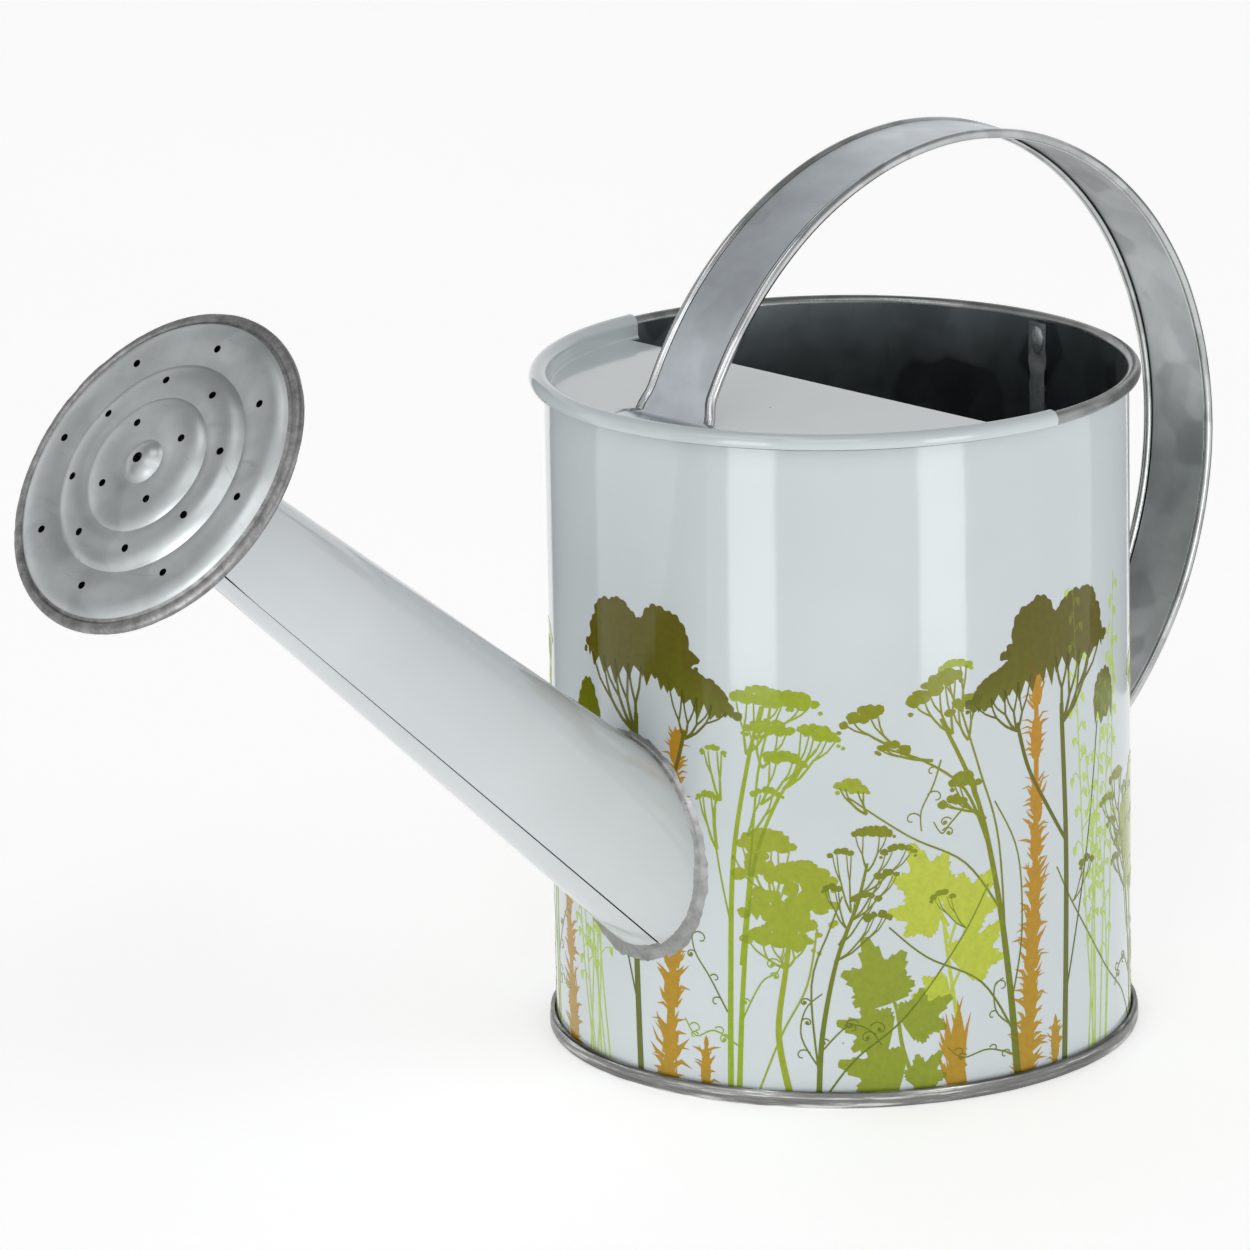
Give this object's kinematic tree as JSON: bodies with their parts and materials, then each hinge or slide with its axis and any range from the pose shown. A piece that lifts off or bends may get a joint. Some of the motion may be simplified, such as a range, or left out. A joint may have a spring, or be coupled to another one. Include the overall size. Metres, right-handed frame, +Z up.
{
  "type": "watering can",
  "caption": "Small round sheet-metal watering can with a half-lid, a hoop strap handle, a long tapered spout with a pull-off rose, and a printed meadow border.",
  "frame": {"origin": "point on the plane that the can stands on, below the middle of the object's box in X and Y; the can's own axis stands 58.9 mm behind it, at y = +0.0589", "axes": "+Z up; -Y the way the spout points; +Y towards the handle's back; the handle, the spout and the rose are centred on the plane X = 0"},
  "size_m": [0.147, 0.3592, 0.2163],
  "materials": {
    "printed_enamel": null,
    "white_enamel": "gloss white enamel",
    "galvanised_steel": "satin galvanised sheet with soft spangle",
    "solder": "dull grey, uneven run",
    "sealing_compound": "matt"
  },
  "bodies": {
    "can": {"body_wall": "printed_enamel", "rim_wire": "galvanised_steel", "base_plate": "galvanised_steel", "base_seal": "sealing_compound", "half_lid": "white_enamel", "side_seam_solder": "solder", "spout_tube": "white_enamel", "spout_solder": "solder", "handle_strap": "galvanised_steel"},
    "rose": {"rose_face": "galvanised_steel", "rose_back": "galvanised_steel", "rose_sleeve": "galvanised_steel", "rose_solder": "solder"}
  },
  "joints": [
    {"name": "rose_pull", "type": "slide", "parent": "can", "child": "rose", "axis": [0, -0.7727, 0.6347], "range_m": [0, 0.04]}
  ]
}
